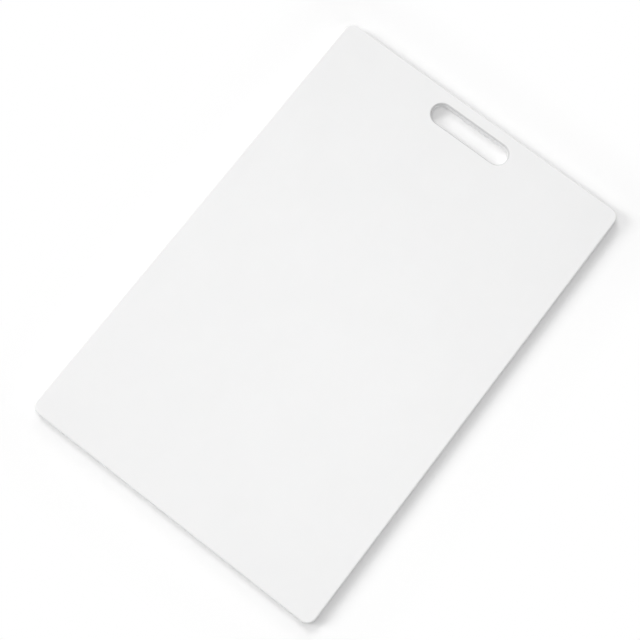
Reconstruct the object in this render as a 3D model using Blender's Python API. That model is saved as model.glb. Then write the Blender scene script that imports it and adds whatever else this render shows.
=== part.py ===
"""Plastic cutting board: one solid slab of white polyethylene with a hand slot near one end.

The origin is at the middle of the underside. +Y runs along the board towards the hand slot, +X runs
across it, and +Z points up out of the cutting face. Every size is in metres.
"""

import math

import bmesh
import bpy
from mathutils import Vector

# Slab
BOARD_LENGTH = 0.4572
BOARD_WIDTH = 0.3048
BOARD_THICKNESS = 0.0095
CORNER_RADIUS = 0.009

# Hand slot, with full-round ends, across the board
SLOT_LENGTH = 0.082
SLOT_WIDTH = 0.020
SLOT_TO_END = 0.0117  # bar of material left between the slot and the end of the board

# Small round on every edge of both faces, outside and in the slot
EDGE_RADIUS = 0.0015

# Facets of the round parts
ARC_STEPS_PER_QUARTER = 12
EDGE_STEPS = 3
SHARP_ANGLE = math.radians(40)  # edges that turn more than this get the small round

# Finish
WHITE_PLASTIC = (0.88, 0.88, 0.875, 1.0)
SATIN_ROUGHNESS = 0.45


def clear_scene():
    """Take every object out of the scene."""
    for thing in list(bpy.data.objects):
        bpy.data.objects.remove(thing, do_unlink=True)


def arc(centre, radius, start, sweep):
    """Points of an arc that turns anticlockwise by sweep, with both of its ends."""
    steps = round(ARC_STEPS_PER_QUARTER * sweep / (math.pi / 2))
    angles = [start + sweep * step / steps for step in range(steps + 1)]
    return [centre + radius * Vector((math.cos(angle), math.sin(angle))) for angle in angles]


def board_outline():
    """A rectangle round the origin, with a quarter arc at each corner."""
    reach_x = BOARD_WIDTH / 2 - CORNER_RADIUS
    reach_y = BOARD_LENGTH / 2 - CORNER_RADIUS
    quarter = math.pi / 2
    points = []
    for turn, (side_x, side_y) in enumerate(((1, 1), (-1, 1), (-1, -1), (1, -1))):
        centre = Vector((side_x * reach_x, side_y * reach_y))
        points += arc(centre, CORNER_RADIUS, turn * quarter, quarter)
    return points


def slot_outline():
    """Two half rounds joined by straight sides, round the slot's own middle."""
    end_radius = SLOT_WIDTH / 2
    reach = Vector((SLOT_LENGTH / 2 - end_radius, 0))
    half = math.pi
    return arc(reach, end_radius, -half / 2, half) + arc(-reach, end_radius, half / 2, half)


def plate(name, outline, bottom, top):
    """An object that fills the outline from the level bottom to the level top."""
    shape = bmesh.new()
    base = shape.faces.new([shape.verts.new((point.x, point.y, bottom)) for point in outline])
    raised = bmesh.ops.extrude_face_region(shape, geom=[base])["geom"]
    upper = [part for part in raised if isinstance(part, bmesh.types.BMVert)]
    bmesh.ops.translate(shape, verts=upper, vec=(0, 0, top - bottom))
    bmesh.ops.recalc_face_normals(shape, faces=shape.faces)
    mesh = bpy.data.meshes.new(name)
    shape.to_mesh(mesh)
    shape.free()
    mesh.shade_smooth()
    mesh.set_sharp_from_angle(angle=SHARP_ANGLE)
    made = bpy.data.objects.new(name, mesh)
    bpy.context.scene.collection.objects.link(made)
    return made


def white_polyethylene():
    """Solid white plastic with a satin face."""
    material = bpy.data.materials.new("white_polyethylene")
    material.use_nodes = True
    surface = material.node_tree.nodes["Principled BSDF"]
    surface.inputs["Base Color"].default_value = WHITE_PLASTIC
    surface.inputs["Roughness"].default_value = SATIN_ROUGHNESS
    surface.inputs["Metallic"].default_value = 0.0
    return material


def make_slot_cutter():
    """The shape of the hand slot, standing out of both faces of the slab."""
    cutter = plate("slot_cutter", slot_outline(), -BOARD_THICKNESS, 2 * BOARD_THICKNESS)
    cutter.location.y = BOARD_LENGTH / 2 - SLOT_TO_END - SLOT_WIDTH / 2
    cutter.hide_render = True
    cutter.display_type = "WIRE"
    return cutter


def make_board(slot_cutter):
    """The slab, with the hand slot cut through it and then every edge of both faces rounded."""
    board = plate("board", board_outline(), 0, BOARD_THICKNESS)
    board.data.materials.append(white_polyethylene())

    slot = board.modifiers.new("hand_slot", "BOOLEAN")
    slot.operation = "DIFFERENCE"
    slot.solver = "EXACT"
    slot.object = slot_cutter

    edges = board.modifiers.new("rounded_edges", "BEVEL")
    edges.width = EDGE_RADIUS
    edges.segments = EDGE_STEPS
    edges.limit_method = "ANGLE"
    edges.angle_limit = SHARP_ANGLE
    edges.harden_normals = True
    return board


def main():
    clear_scene()
    make_board(make_slot_cutter())


main()
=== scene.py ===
"""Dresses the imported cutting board: one slab of white polyethylene, lit and seen as in the photograph.

The origin is the middle of the underside. +Y runs towards the hand slot, +X across the board and +Z up
out of the cutting face. Sizes are in metres.
"""

import math

import bpy
from mathutils import Matrix, Vector


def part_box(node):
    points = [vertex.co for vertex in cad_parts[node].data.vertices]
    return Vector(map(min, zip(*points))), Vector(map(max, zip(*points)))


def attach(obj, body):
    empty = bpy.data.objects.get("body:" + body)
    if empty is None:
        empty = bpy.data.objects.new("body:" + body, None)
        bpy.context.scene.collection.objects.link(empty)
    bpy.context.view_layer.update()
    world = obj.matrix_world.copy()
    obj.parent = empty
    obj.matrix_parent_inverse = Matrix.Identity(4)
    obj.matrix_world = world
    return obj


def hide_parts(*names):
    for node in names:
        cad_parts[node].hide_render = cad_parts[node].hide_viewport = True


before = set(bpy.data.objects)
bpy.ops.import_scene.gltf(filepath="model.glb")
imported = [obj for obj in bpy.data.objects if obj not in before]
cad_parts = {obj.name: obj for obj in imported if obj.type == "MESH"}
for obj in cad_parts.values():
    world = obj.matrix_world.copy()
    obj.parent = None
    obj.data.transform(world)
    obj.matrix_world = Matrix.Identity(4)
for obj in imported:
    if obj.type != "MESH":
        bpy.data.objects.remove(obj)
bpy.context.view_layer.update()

# Hand slot and rounds of the slab; its length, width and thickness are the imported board's own
CORNER_RADIUS = 0.009
SLOT_LENGTH = 0.082
SLOT_WIDTH = 0.020
SLOT_TO_END = 0.0117
EDGE_RADIUS = 0.0015
SUPPORT_WIDTH = 0.0004  # narrow flat strip beside each round, which keeps the flats' shading flat
CORNER_GATHER = 0.55  # where the flats' corner points stand, in corner radii from the corner's middle
SLOT_GATHER = 1.33  # the same round the slot, in slot radii
CORNER_STEPS = 24
EDGE_STEPS = 8
WELD_DISTANCE = 1e-6

# Colour of the plastic and of the floor, and how it varies
WHITE = (0.88, 0.88, 0.88, 1.0)
PURE_WHITE = (1.0, 1.0, 1.0, 1.0)
DRIFT_OF_TONE = 0.02
DRIFT_PATCH = 0.06
CUT_GREY = 0.05  # how much darker the cut edges are than the pressed faces
SLOT_EDGE_PAINTED_SHADE = 0.22  # painted shade: how much darker still the rounds of the slot are drawn, for the shade that falls on them inside the slot

# Grain of the faces: pebbles, and an unevenness of the skin that runs over them
PEBBLE_SIZE = 0.0009
PEBBLE_SHARE = 0.8
PEBBLE_SMOOTHING = 0.6
SKIN_SHARE = 0.5
SKIN_SCALE = 0.6  # the skin's widest patches to one pebble
GRAIN_DEPTH = 0.00005
GRAIN_STRENGTH = 0.35

# Marks of the cutter: lines that run along an edge, and a fainter chatter that runs up it
LINE_SPACING = 0.0005
LINE_SQUEEZE = (0.02, 0.02, 1.0)
CHATTER_SPACING = 0.0014
CHATTER_SQUEEZE = (1.0, 1.0, 0.03)
CHATTER_SHARE = 0.35
MARK_DEPTH = 0.00006
MARK_STRENGTH = 0.5

# Gloss: roughness of the faces and of the cut edges, and how far each wanders
FACE_ROUGHNESS = 0.47
FACE_ROUGHNESS_DRIFT = 0.04
CUT_ROUGHNESS = 0.30
CUT_ROUGHNESS_LINES = 0.16
SPECULAR_LEVEL = 0.35
PLASTIC_IOR = 1.5

# How light goes into the plastic
SCATTER_SHARE = 0.25
SCATTER_COLOURS = (1.0, 0.98, 0.95)
SCATTER_DEPTH = 0.0025

# Camera, from the board's four sides in the photograph; its place is from the middle of the work face
CAMERA_OVER_FACE = (0.15776, -0.25028, 1.21637)
CAMERA_AIM = (-0.00175, -0.01376, 0.0)
CAMERA_UP = (-0.59595, 0.77002, 0.22787)
CAMERA_LENS = 80.0
SENSOR_WIDTH = 36.0
NEAREST_SEEN = 0.01
FARTHEST_SEEN = 20

# Far lamps: name, azimuth, elevation, strength
LAMPS = [
    ("left_far", 150, 45, 0.249),
    ("left_near_low", 210, 30, 0.376),
    ("far_left_low", 120, 30, 0.106),
    ("far_right_low", 60, 30, 0.058),
    ("right_low", 330, 30, 0.084),
]
LAMP_SPREAD = math.radians(22)

# Lamp over the board, and the even light from all round
OVERHEAD_PLACE = (-0.02, -0.06, 0.8)
OVERHEAD_SIZE = 0.7
OVERHEAD_STRENGTH = 0.22
ROOM_LIGHT = 0.335

# Floor: how far out from the board its shading is kept, and from where it is plain white
FLOOR_RADIUS = 4.0
FLOOR_SIDES = 96
SHADOW_KEPT_TO = 0.018
PLAIN_FROM = 0.07


class Nodes:
    """Makes and joins the nodes of one tree."""

    def __init__(self, tree):
        self.tree = tree

    def add(self, kind, inputs=(), **settings):
        """A node of this kind, with its settings and its inputs, each by name or by number."""
        node = self.tree.nodes.new(kind)
        for name, value in settings.items():
            setattr(node, name, value)
        for key, value in dict(inputs).items():
            self.put(value, node.inputs[key])
        return node

    def put(self, value, socket):
        """Joins a socket to this one, or sets it to a plain value."""
        if isinstance(value, bpy.types.NodeSocket):
            self.tree.links.new(value, socket)
        else:
            socket.default_value = value

    def math(self, operation, *values):
        """The result of this sum on sockets or plain numbers."""
        node = self.add("ShaderNodeMath", operation=operation)
        for socket, value in zip(node.inputs, values):
            self.put(value, socket)
        return node.outputs[0]

    def vector(self, operation, *values):
        """The outputs, by name, of this sum on vectors."""
        node = self.add("ShaderNodeVectorMath", operation=operation)
        for socket, value in zip(node.inputs, values):
            self.put(value, socket)
        return node.outputs


def new_group(name, kind, inputs, outputs):
    """An empty node group with these named sockets, and its own input and output nodes."""
    tree = bpy.data.node_groups.new(name, kind)
    for label, socket_type, value in inputs:
        socket = tree.interface.new_socket(label, in_out="INPUT", socket_type=socket_type)
        if value is not None:
            socket.default_value = value
    for label, socket_type in outputs:
        tree.interface.new_socket(label, in_out="OUTPUT", socket_type=socket_type)
    n = Nodes(tree)
    return tree, n, n.add("NodeGroupInput").outputs, n.add("NodeGroupOutput").inputs


# Slab


def rounded_rim():
    """The wall along a rounded outline, with the round and a narrow flat strip at both of its edges.

    Outward is 1 for the outside of a slab and -1 for an opening in it. On the flats each quarter of
    the outline ends in one point, Gather away from the middle of its arc both ways, so that what is
    left to fill is a plain rectangle.
    """
    tree, n, given, made = new_group(
        "Rounded Rim",
        "GeometryNodeTree",
        [
            ("Reach X", "NodeSocketFloat", 0.1),
            ("Reach Y", "NodeSocketFloat", 0.1),
            ("Middle Y", "NodeSocketFloat", 0.0),
            ("Wall Radius", "NodeSocketFloat", 0.01),
            ("Outward", "NodeSocketFloat", 1.0),
            ("Gather", "NodeSocketFloat", 0.005),
            ("Thickness", "NodeSocketFloat", 0.01),
            ("Edge Radius", "NodeSocketFloat", 0.001),
            ("Support Width", "NodeSocketFloat", 0.0005),
            ("Edge Painted Shade", "NodeSocketFloat", 0.0),
            ("Corner Steps", "NodeSocketInt", 12),
            ("Edge Steps", "NodeSocketInt", 4),
        ],
        [("Geometry", "NodeSocketGeometry")],
    )
    quarter = math.pi / 2
    # a strip of faces: across it runs the edge profile, and along it the outline, closed on itself;
    # each half of the profile has the steps of its round and four points more
    across = n.math("MULTIPLY", n.math("ADD", given["Edge Steps"], 4), 2)
    per_corner = n.math("ADD", given["Corner Steps"], 1)
    around = n.math("MULTIPLY", per_corner, 4)
    strip = n.add(
        "GeometryNodeMeshGrid",
        {"Vertices X": across, "Vertices Y": n.math("ADD", around, 1)},
    )
    place = n.add("ShaderNodeSeparateXYZ", {0: strip.outputs["UV Map"]}).outputs
    last_across = n.math("SUBTRACT", across, 1)
    i = n.math("ROUND", n.math("MULTIPLY", place["Y"], around))
    j = n.math("ROUND", n.math("MULTIPLY", place["X"], last_across))

    # the outline: a quarter turn at each corner
    corner = n.math("FLOOR", n.math("DIVIDE", n.math("ADD", i, 0.5), per_corner))
    step = n.math("SUBTRACT", i, n.math("MULTIPLY", corner, per_corner))
    turn = n.math("ADD", corner, n.math("DIVIDE", step, given["Corner Steps"]))
    angle = n.math("MULTIPLY", turn, quarter)
    towards_corner = n.math("MULTIPLY", n.math("ADD", corner, 0.5), quarter)
    side_x = n.math("SIGN", n.math("COSINE", towards_corner))
    side_y = n.math("SIGN", n.math("SINE", towards_corner))

    # the edge profile: gathered points, flat strip, quarter round, narrow strip of wall, and then
    # the same again upside down
    from_edge = n.math("MINIMUM", j, n.math("SUBTRACT", last_across, j))
    way_round = n.math("DIVIDE", n.math("SUBTRACT", from_edge, 2), given["Edge Steps"])
    round_share = n.math("MINIMUM", n.math("MAXIMUM", way_round, 0), 1)
    bend = n.math("MULTIPLY", round_share, quarter)
    gathered = n.math("LESS_THAN", from_edge, 0.5)
    on_flat = n.math("LESS_THAN", from_edge, 1.5)
    on_wall = n.math("GREATER_THAN", from_edge, n.math("ADD", given["Edge Steps"], 2.5))
    run = n.math("SUBTRACT", 1, n.math("SINE", bend))
    rise = n.math("SUBTRACT", 1, n.math("COSINE", bend))
    inset = n.math(
        "MULTIPLY_ADD", on_flat, given["Support Width"], n.math("MULTIPLY", run, given["Edge Radius"])
    )
    level = n.math(
        "MULTIPLY_ADD", on_wall, given["Support Width"], n.math("MULTIPLY", rise, given["Edge Radius"])
    )
    radius = n.math("SUBTRACT", given["Wall Radius"], n.math("MULTIPLY", inset, given["Outward"]))
    upper = n.math("GREATER_THAN", j, n.math("MULTIPLY", last_across, 0.5))
    height = n.math(
        "MULTIPLY_ADD",
        upper,
        n.math("SUBTRACT", given["Thickness"], n.math("MULTIPLY", level, 2)),
        level,
    )

    def out_from_reach(reach, side, direction):
        round_part = n.math("MULTIPLY", radius, direction)
        point_part = n.math("MULTIPLY", given["Gather"], side)
        choice = {"Factor": gathered, 2: round_part, 3: point_part}
        out = n.add("ShaderNodeMix", choice, data_type="FLOAT")
        return n.math("MULTIPLY_ADD", side, reach, out.outputs[0])

    x = out_from_reach(given["Reach X"], side_x, n.math("COSINE", angle))
    y = out_from_reach(given["Reach Y"], side_y, n.math("SINE", angle))
    along = n.math("ADD", y, given["Middle Y"])
    point = n.add("ShaderNodeCombineXYZ", {"X": x, "Y": along, "Z": height})
    bent = n.add(
        "GeometryNodeSetPosition",
        {"Geometry": strip.outputs["Mesh"], "Position": point.outputs[0]},
    )

    # how far the surface belongs to the cut edge, from 0 on the flats to 1 on the wall
    marked = n.add(
        "GeometryNodeStoreNamedAttribute",
        {"Geometry": bent.outputs[0], "Name": "cut_edge", "Value": n.math("SINE", bend)},
        data_type="FLOAT",
        domain="POINT",
    )
    # painted shade on the round itself: nothing on the flats and the wall, most of it in between
    from_middle = n.math("POWER", n.math("MULTIPLY_ADD", round_share, 2, -1), 4)
    painted_round = n.add(
        "GeometryNodeStoreNamedAttribute",
        {
            "Geometry": marked.outputs[0],
            "Name": "round_painted_shade",
            "Value": n.math("MULTIPLY", given["Edge Painted Shade"], n.math("SUBTRACT", 1, from_middle)),
        },
        data_type="FLOAT",
        domain="POINT",
    )
    closed = n.add(
        "GeometryNodeMergeByDistance",
        {"Geometry": painted_round.outputs[0], "Distance": WELD_DISTANCE},
    )
    n.put(closed.outputs[0], made["Geometry"])
    return tree


def flat_face():
    """The flat face that fills the open loops of the rims at one level."""
    tree, n, given, made = new_group(
        "Flat Face",
        "GeometryNodeTree",
        [("Rims", "NodeSocketGeometry", None), ("Level", "NodeSocketFloat", 0.0)],
        [("Geometry", "NodeSocketGeometry")],
    )
    point = n.add("GeometryNodeInputPosition").outputs[0]
    height = n.add("ShaderNodeSeparateXYZ", {0: point}).outputs["Z"]
    here = n.math("COMPARE", height, given["Level"], WELD_DISTANCE)
    faces_beside = n.add("GeometryNodeInputMeshEdgeNeighbors").outputs[0]
    loose = n.math("MULTIPLY", here, n.math("COMPARE", faces_beside, 1, 0.1))
    loops = n.add("GeometryNodeMeshToCurve", {"Mesh": given["Rims"], "Selection": loose})
    filled = n.add("GeometryNodeFillCurve", {"Curve": loops.outputs[0]}, mode="NGONS")
    raised = n.add("ShaderNodeCombineXYZ", {"Z": given["Level"]})
    placed = n.add(
        "GeometryNodeTransform",
        {"Geometry": filled.outputs[0], "Translation": raised.outputs[0]},
    )
    n.put(placed.outputs[0], made["Geometry"])
    return tree


def slotted_slab():
    """A slab with rounded corners and edges, and a hand slot with full-round ends cut through it."""
    tree, n, given, made = new_group(
        "Slotted Slab",
        "GeometryNodeTree",
        [
            ("Length", "NodeSocketFloat", 0.4),
            ("Width", "NodeSocketFloat", 0.3),
            ("Thickness", "NodeSocketFloat", 0.01),
            ("Corner Radius", "NodeSocketFloat", CORNER_RADIUS),
            ("Edge Radius", "NodeSocketFloat", EDGE_RADIUS),
            ("Slot Length", "NodeSocketFloat", SLOT_LENGTH),
            ("Slot Width", "NodeSocketFloat", SLOT_WIDTH),
            ("Slot To End", "NodeSocketFloat", SLOT_TO_END),
            ("Support Width", "NodeSocketFloat", SUPPORT_WIDTH),
            ("Slot Edge Painted Shade", "NodeSocketFloat", 0.0),
            ("Corner Steps", "NodeSocketInt", CORNER_STEPS),
            ("Edge Steps", "NodeSocketInt", EDGE_STEPS),
            ("Finish", "NodeSocketMaterial", None),
        ],
        [("Geometry", "NodeSocketGeometry")],
    )
    rim = rounded_rim()
    face = flat_face()
    shared = {
        name: given[name]
        for name in ("Thickness", "Edge Radius", "Support Width", "Corner Steps", "Edge Steps")
    }

    def half(value):
        return n.math("MULTIPLY", value, 0.5)

    outside = n.add("GeometryNodeGroup", node_tree=rim)
    for name, value in {
        **shared,
        "Reach X": n.math("SUBTRACT", half(given["Width"]), given["Corner Radius"]),
        "Reach Y": n.math("SUBTRACT", half(given["Length"]), given["Corner Radius"]),
        "Wall Radius": given["Corner Radius"],
        "Outward": 1.0,
        "Gather": n.math("MULTIPLY", given["Corner Radius"], CORNER_GATHER),
    }.items():
        n.put(value, outside.inputs[name])

    slot_radius = half(given["Slot Width"])
    far_wall = n.math("SUBTRACT", half(given["Length"]), given["Slot To End"])
    slot = n.add("GeometryNodeGroup", node_tree=rim)
    for name, value in {
        **shared,
        "Reach X": n.math("SUBTRACT", half(given["Slot Length"]), slot_radius),
        "Reach Y": 0.0,
        "Middle Y": n.math("SUBTRACT", far_wall, slot_radius),
        "Wall Radius": slot_radius,
        "Outward": -1.0,
        "Gather": n.math("MULTIPLY", slot_radius, SLOT_GATHER),
        # the slot's rounds get painted shade
        "Edge Painted Shade": given["Slot Edge Painted Shade"],
    }.items():
        n.put(value, slot.inputs[name])
    outside_wall = n.add("GeometryNodeFlipFaces", {"Mesh": outside.outputs[0]})

    rims = n.add("GeometryNodeJoinGeometry")
    for part in (outside_wall, slot):
        n.tree.links.new(part.outputs[0], rims.inputs[0])
    work_face = n.add("GeometryNodeGroup", node_tree=face)
    n.put(rims.outputs[0], work_face.inputs["Rims"])
    n.put(given["Thickness"], work_face.inputs["Level"])
    under_face = n.add("GeometryNodeGroup", node_tree=face)
    n.put(rims.outputs[0], under_face.inputs["Rims"])
    turned = n.add("GeometryNodeFlipFaces", {"Mesh": under_face.outputs[0]})

    whole = n.add("GeometryNodeJoinGeometry")
    for part in (rims, work_face, turned):
        n.tree.links.new(part.outputs[0], whole.inputs[0])
    welded = n.add(
        "GeometryNodeMergeByDistance",
        {"Geometry": whole.outputs[0], "Distance": WELD_DISTANCE},
    )
    smooth = n.add(
        "GeometryNodeSetShadeSmooth",
        {"Geometry": welded.outputs[0], "Shade Smooth": True},
    )
    real = n.add("GeometryNodeRealizeInstances", {"Geometry": smooth.outputs[0]})
    painted = n.add(
        "GeometryNodeSetMaterial",
        {"Geometry": real.outputs[0], "Material": given["Finish"]},
    )
    n.put(painted.outputs[0], made["Geometry"])
    return tree


def built(name, tree, values):
    """An object with the plain mesh that the tree makes from these values."""
    carrier = bpy.data.objects.new(name + "_maker", bpy.data.meshes.new(name + "_maker"))
    bpy.context.scene.collection.objects.link(carrier)
    maker = carrier.modifiers.new("maker", "NODES")
    maker.node_group = tree
    inputs = [item for item in tree.interface.items_tree if item.in_out == "INPUT"]
    sockets = {item.name: item.identifier for item in inputs}
    for label, value in values.items():
        maker[sockets[label]] = value
    ready = carrier.evaluated_get(bpy.context.evaluated_depsgraph_get())
    mesh = bpy.data.meshes.new_from_object(ready)
    mesh.name = name
    mesh.materials.pop(index=0)  # the empty slot that a mesh made by nodes starts with
    carrier.modifiers.remove(maker)
    bpy.data.objects.remove(carrier, do_unlink=True)
    piece = bpy.data.objects.new(name, mesh)
    bpy.context.scene.collection.objects.link(piece)
    return piece


# Finish


def pressed_grain():
    """Height of the fine pebbled grain that the press leaves on the faces."""
    tree, n, given, made = new_group(
        "Pressed Grain",
        "ShaderNodeTree",
        [("Place", "NodeSocketVector", None), ("Pebble Size", "NodeSocketFloat", PEBBLE_SIZE)],
        [("Height", "NodeSocketFloat")],
    )
    per_metre = n.math("DIVIDE", 1, given["Pebble Size"])
    pebbles = n.add(
        "ShaderNodeTexVoronoi",
        {"Vector": given["Place"], "Scale": per_metre, "Smoothness": PEBBLE_SMOOTHING},
        feature="SMOOTH_F1",
    )
    patches = n.math("MULTIPLY", per_metre, SKIN_SCALE)
    skin = n.add(
        "ShaderNodeTexNoise",
        {"Vector": given["Place"], "Scale": patches, "Detail": 3.0},
    )
    rounded = n.math("MULTIPLY", pebbles.outputs["Distance"], -PEBBLE_SHARE)
    n.put(n.math("MULTIPLY_ADD", skin.outputs["Fac"], SKIN_SHARE, rounded), made["Height"])
    return tree


def cutter_marks():
    """Height of a cutter's marks on an edge: long lines along it and a faint chatter across it."""
    tree, n, given, made = new_group(
        "Cutter Marks",
        "ShaderNodeTree",
        [
            ("Place", "NodeSocketVector", None),
            ("Line Spacing", "NodeSocketFloat", LINE_SPACING),
            ("Chatter Spacing", "NodeSocketFloat", CHATTER_SPACING),
        ],
        [("Height", "NodeSocketFloat")],
    )

    def streaks(squeeze, spacing, detail):
        squeezed = n.vector("MULTIPLY", given["Place"], squeeze)["Vector"]
        per_metre = n.math("DIVIDE", 1, given[spacing])
        return n.add("ShaderNodeTexNoise", {"Vector": squeezed, "Scale": per_metre, "Detail": detail})

    lines = streaks(LINE_SQUEEZE, "Line Spacing", 2.0).outputs["Fac"]
    chatter = streaks(CHATTER_SQUEEZE, "Chatter Spacing", 1.0).outputs["Fac"]
    n.put(n.math("MULTIPLY_ADD", chatter, CHATTER_SHARE, lines), made["Height"])
    return tree


def tone_drift():
    """A slow change over the sheet, from -1 to 1 at most, with a finer cloud in it."""
    tree, n, given, made = new_group(
        "Tone Drift",
        "ShaderNodeTree",
        [("Place", "NodeSocketVector", None), ("Patch Size", "NodeSocketFloat", DRIFT_PATCH)],
        [("Drift", "NodeSocketFloat")],
    )
    cloud = n.add(
        "ShaderNodeTexNoise",
        {
            "Vector": given["Place"],
            "Scale": n.math("DIVIDE", 1, given["Patch Size"]),
            "Detail": 4.0,
            "Roughness": 0.65,
        },
    )
    n.put(n.math("MULTIPLY_ADD", cloud.outputs["Fac"], 2, -1), made["Drift"])
    return tree


def white_polyethylene():
    """Solid white plastic: a satin face with a fine pressed grain, and edges with a cutter's lines."""
    material = bpy.data.materials.new("satin_white_plastic")
    material.use_nodes = True
    n = Nodes(material.node_tree)
    surface = material.node_tree.nodes["Principled BSDF"]
    place = n.add("ShaderNodeTexCoord").outputs["Object"]

    def stored(name):
        node = n.add("ShaderNodeAttribute", attribute_name=name, attribute_type="GEOMETRY")
        return node.outputs["Fac"]

    def shared(tree, **values):
        node = n.add("ShaderNodeGroup", node_tree=tree)
        n.put(place, node.inputs["Place"])
        for label, value in values.items():
            n.put(value, node.inputs[label.replace("_", " ").title()])
        return node.outputs[0]

    cut = stored("cut_edge")
    face = n.math("SUBTRACT", 1, cut)
    grain = shared(pressed_grain(), pebble_size=PEBBLE_SIZE)
    marks = shared(cutter_marks(), line_spacing=LINE_SPACING, chatter_spacing=CHATTER_SPACING)
    drift = shared(tone_drift(), patch_size=DRIFT_PATCH)

    # colour: white with a slight drift, a little greyer where it is cut, and painted shade on the slot's
    # rounds
    cut_tone_and_painted_shade = n.math("MULTIPLY_ADD", cut, CUT_GREY, stored("round_painted_shade"))
    light = n.math("SUBTRACT", n.math("MULTIPLY_ADD", drift, DRIFT_OF_TONE, 1), cut_tone_and_painted_shade)
    tinted = n.add("ShaderNodeVectorMath", {0: WHITE[:3], "Scale": light}, operation="SCALE")
    n.put(tinted.outputs[0], surface.inputs["Base Color"])

    # gloss: the cut edges are a little smoother, in lines
    face_rough = n.math("MULTIPLY_ADD", drift, FACE_ROUGHNESS_DRIFT, FACE_ROUGHNESS)
    edge_rough = n.math("MULTIPLY_ADD", marks, CUT_ROUGHNESS_LINES, CUT_ROUGHNESS)
    rough = n.add("ShaderNodeMix", {"Factor": cut, 2: face_rough, 3: edge_rough}, data_type="FLOAT")
    n.put(rough.outputs[0], surface.inputs["Roughness"])

    # relief
    pebbled = n.add(
        "ShaderNodeBump",
        {
            "Strength": GRAIN_STRENGTH,
            "Distance": GRAIN_DEPTH,
            "Height": n.math("MULTIPLY", grain, face),
        },
    )
    lined = n.add(
        "ShaderNodeBump",
        {
            "Strength": MARK_STRENGTH,
            "Distance": MARK_DEPTH,
            "Height": n.math("MULTIPLY", marks, cut),
            "Normal": pebbled.outputs[0],
        },
    )
    n.put(lined.outputs[0], surface.inputs["Normal"])

    surface.inputs["IOR"].default_value = PLASTIC_IOR
    surface.inputs["Specular IOR Level"].default_value = SPECULAR_LEVEL
    surface.inputs["Subsurface Weight"].default_value = SCATTER_SHARE
    surface.inputs["Subsurface Radius"].default_value = SCATTER_COLOURS
    surface.inputs["Subsurface Scale"].default_value = SCATTER_DEPTH
    return material


# Stage


def looking_ray(n):
    """1 for a ray that looks, straight or by a reflection, and 0 for one that gathers light."""
    path = n.add("ShaderNodeLightPath").outputs
    straight_or_mirrored = n.math("ADD", path["Is Camera Ray"], path["Is Glossy Ray"])
    return n.math("MINIMUM", n.math("ADD", straight_or_mirrored, path["Is Transmission Ray"]), 1)


def white_floor(half_size):
    """A white floor that keeps the board's shadow and goes over into plain white further out."""
    bpy.ops.mesh.primitive_circle_add(vertices=FLOOR_SIDES, radius=FLOOR_RADIUS, fill_type="NGON")
    floor = bpy.context.object
    floor.name = "floor"
    material = bpy.data.materials.new("floor_white")
    material.use_nodes = True
    material.node_tree.nodes.clear()
    n = Nodes(material.node_tree)
    looks = looking_ray(n)
    shade = n.add("ShaderNodeMix", {"Factor": looks, 6: WHITE, 7: PURE_WHITE}, data_type="RGBA")
    matt = n.add("ShaderNodeBsdfDiffuse", {"Color": shade.outputs[2]})
    plain = n.add("ShaderNodeEmission", {"Color": PURE_WHITE, "Strength": 1.0})

    # how far a point lies outside the board's own rectangle
    place = n.add("ShaderNodeTexCoord").outputs["Object"]
    folded = n.vector("ABSOLUTE", place)["Vector"]
    beyond = n.vector("SUBTRACT", folded, (half_size.x, half_size.y, 0))["Vector"]
    away = n.vector("LENGTH", n.vector("MAXIMUM", beyond, (0, 0, 0))["Vector"])["Value"]
    far = n.add(
        "ShaderNodeMapRange",
        {"Value": away, "From Min": SHADOW_KEPT_TO, "From Max": PLAIN_FROM},
        interpolation_type="SMOOTHSTEP",
    )
    seen = n.math("MULTIPLY", far.outputs[0], looks)
    both = n.add("ShaderNodeMixShader", {0: seen, 1: matt.outputs[0], 2: plain.outputs[0]})
    n.add("ShaderNodeOutputMaterial", {"Surface": both.outputs[0]})
    floor.data.materials.append(material)


def soft_lamp(name, azimuth, elevation, strength):
    """A wide soft lamp far off. Azimuth turns from +X towards +Y.

    Strength 1 lights a surface that faces it as brightly as an even white sky would.
    """
    data = bpy.data.lights.new(name, "SUN")
    data.angle = LAMP_SPREAD
    data.energy = strength * math.pi
    lamp = bpy.data.objects.new(name, data)
    bpy.context.scene.collection.objects.link(lamp)
    a, e = math.radians(azimuth), math.radians(elevation)
    towards = Vector((math.cos(a) * math.cos(e), math.sin(a) * math.cos(e), math.sin(e)))
    lamp.location = towards
    lamp.rotation_mode = "QUATERNION"
    lamp.rotation_quaternion = towards.to_track_quat("Z", "Y")


def overhead_lamp(place, size, strength):
    """A round soft lamp over the board, near enough to fall off a little towards the board's ends.

    Strength 1 lights the floor right under it nearly as brightly as an even white sky would.
    """
    data = bpy.data.lights.new("overhead", "AREA")
    data.shape = "DISK"
    data.size = size
    data.energy = strength * math.pi**2 * place[2] ** 2
    lamp = bpy.data.objects.new("overhead", data)
    bpy.context.scene.collection.objects.link(lamp)
    lamp.location = place
    lamp.visible_camera = False


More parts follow.
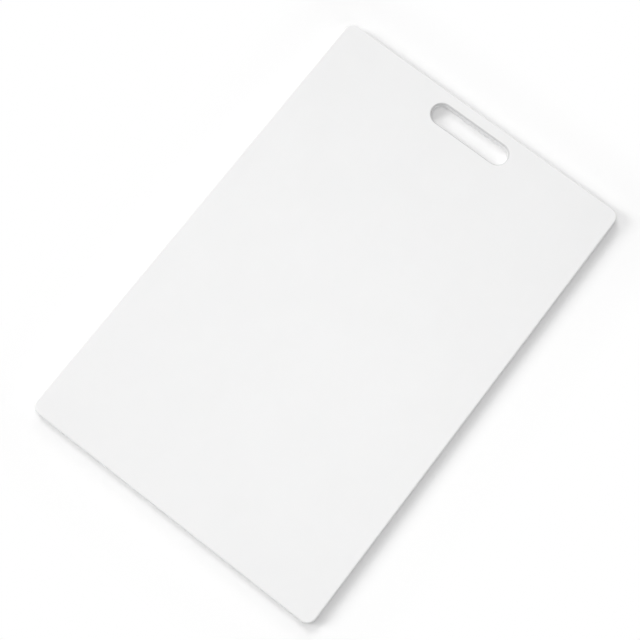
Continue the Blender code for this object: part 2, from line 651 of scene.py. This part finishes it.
def even_room(strength):
    """A dim even light from all round, and plain white for whatever looks at it."""
    world = bpy.data.worlds.new("room")
    world.use_nodes = True
    bpy.context.scene.world = world
    world.node_tree.nodes.clear()
    n = Nodes(world.node_tree)
    light = n.add("ShaderNodeBackground", {"Color": PURE_WHITE, "Strength": strength})
    white = n.add("ShaderNodeBackground", {"Color": PURE_WHITE, "Strength": 1.0})
    both = n.add(
        "ShaderNodeMixShader",
        {0: looking_ray(n), 1: light.outputs[0], 2: white.outputs[0]},
    )
    n.add("ShaderNodeOutputWorld", {"Surface": both.outputs[0]})


def photo_camera(face_level):
    """The photograph's viewpoint, high over the board and turned round the line of sight."""
    data = bpy.data.cameras.new("camera")
    data.sensor_width = SENSOR_WIDTH
    data.lens = CAMERA_LENS
    data.clip_start = NEAREST_SEEN
    data.clip_end = FARTHEST_SEEN
    camera = bpy.data.objects.new("camera", data)
    bpy.context.scene.collection.objects.link(camera)
    eye = Vector(CAMERA_OVER_FACE)
    ahead = (Vector(CAMERA_AIM) - eye).normalized()
    right = ahead.cross(Vector(CAMERA_UP)).normalized()
    up = right.cross(ahead)
    turn = Matrix((right, up, -ahead)).transposed().to_4x4()
    camera.matrix_world = Matrix.Translation(eye + Vector((0, 0, face_level))) @ turn
    bpy.context.scene.camera = camera


low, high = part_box("board")
slab = built(
    "slab",
    slotted_slab(),
    {
        "Length": high.y - low.y,
        "Width": high.x - low.x,
        "Thickness": high.z - low.z,
        "Corner Radius": CORNER_RADIUS,
        "Edge Radius": EDGE_RADIUS,
        "Slot Length": SLOT_LENGTH,
        "Slot Width": SLOT_WIDTH,
        "Slot To End": SLOT_TO_END,
        "Support Width": SUPPORT_WIDTH,
        "Slot Edge Painted Shade": SLOT_EDGE_PAINTED_SHADE,
        "Corner Steps": CORNER_STEPS,
        "Edge Steps": EDGE_STEPS,
        "Finish": white_polyethylene(),
    },
)
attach(slab, "root")
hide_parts("board")

white_floor((high - low) / 2)
for lamp in LAMPS:
    soft_lamp(*lamp)
overhead_lamp(OVERHEAD_PLACE, OVERHEAD_SIZE, OVERHEAD_STRENGTH)
even_room(ROOM_LIGHT)
photo_camera(high.z)
bpy.context.scene.view_settings.view_transform = "Standard"
